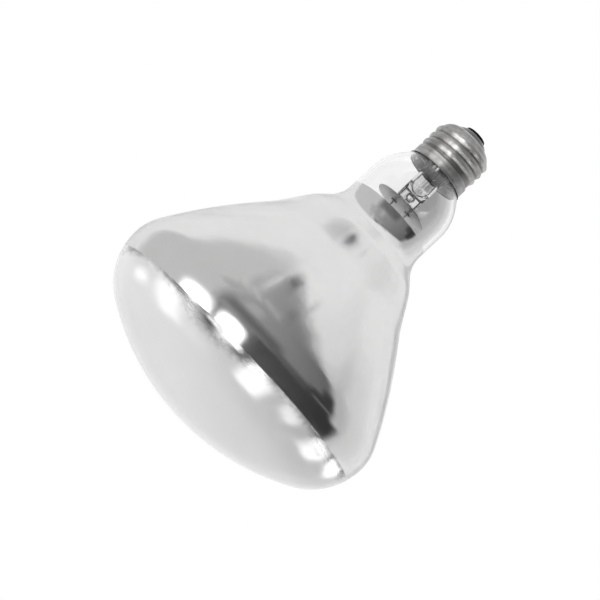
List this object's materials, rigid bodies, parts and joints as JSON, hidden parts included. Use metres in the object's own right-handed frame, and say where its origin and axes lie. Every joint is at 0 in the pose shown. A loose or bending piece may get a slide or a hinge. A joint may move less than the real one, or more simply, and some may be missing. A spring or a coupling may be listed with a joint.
{
  "type": "infrared heat lamp bulb",
  "caption": "Reflector heat lamp bulb with a softly frosted domed face, a mirror-coated flank, a clear glass neck that shows the stem, and a metal screw base.",
  "frame": {"origin": "on the lamp's axis, where the plain skirt of the screw shell rises out of its flared rim", "axes": "+Z along the lamp's axis towards the screw base, the face points to -Z; the two leads stand side by side along X"},
  "size_m": [0.127, 0.127, 0.1633],
  "materials": {
    "envelope_glass": "clear glossy glass, softly frosted on the face",
    "mirror_film": "vacuum-coated mirror film",
    "shell_metal": "satin rolled metal",
    "insulator_glass": "glossy black glass",
    "contact_metal": "blackened by use",
    "solder": "dark dull solder",
    "cement": "dull baked cement",
    "stem_glass": "clear glossy glass",
    "seal_wire": "copper-coated wire",
    "lead_wire": "drawn nickel wire",
    "shield_metal": "bright sheet",
    "support_wire": "drawn grey wire",
    "filament_wire": "dull tungsten"
  },
  "bodies": {
    "root": {"glass_envelope": "envelope_glass", "reflector_coating": "mirror_film", "screw_shell": "shell_metal", "base_insulator": "insulator_glass", "contact_eyelet": "contact_metal", "contact_solder": "solder", "basing_cement": "cement", "glass_stem": "stem_glass", "exhaust_tube": "stem_glass", "seal_wire_left": "seal_wire", "seal_wire_right": "seal_wire", "centre_lead": "lead_wire", "side_lead": "lead_wire", "inner_lead_left": "lead_wire", "inner_lead_right": "lead_wire", "heat_shield": "shield_metal", "shield_eyelet_left": "lead_wire", "shield_eyelet_right": "lead_wire", "support_bead": "stem_glass", "support_wire_left": "support_wire", "support_wire_middle": "support_wire", "support_wire_right": "support_wire", "filament": "filament_wire"}
  },
  "joints": []
}
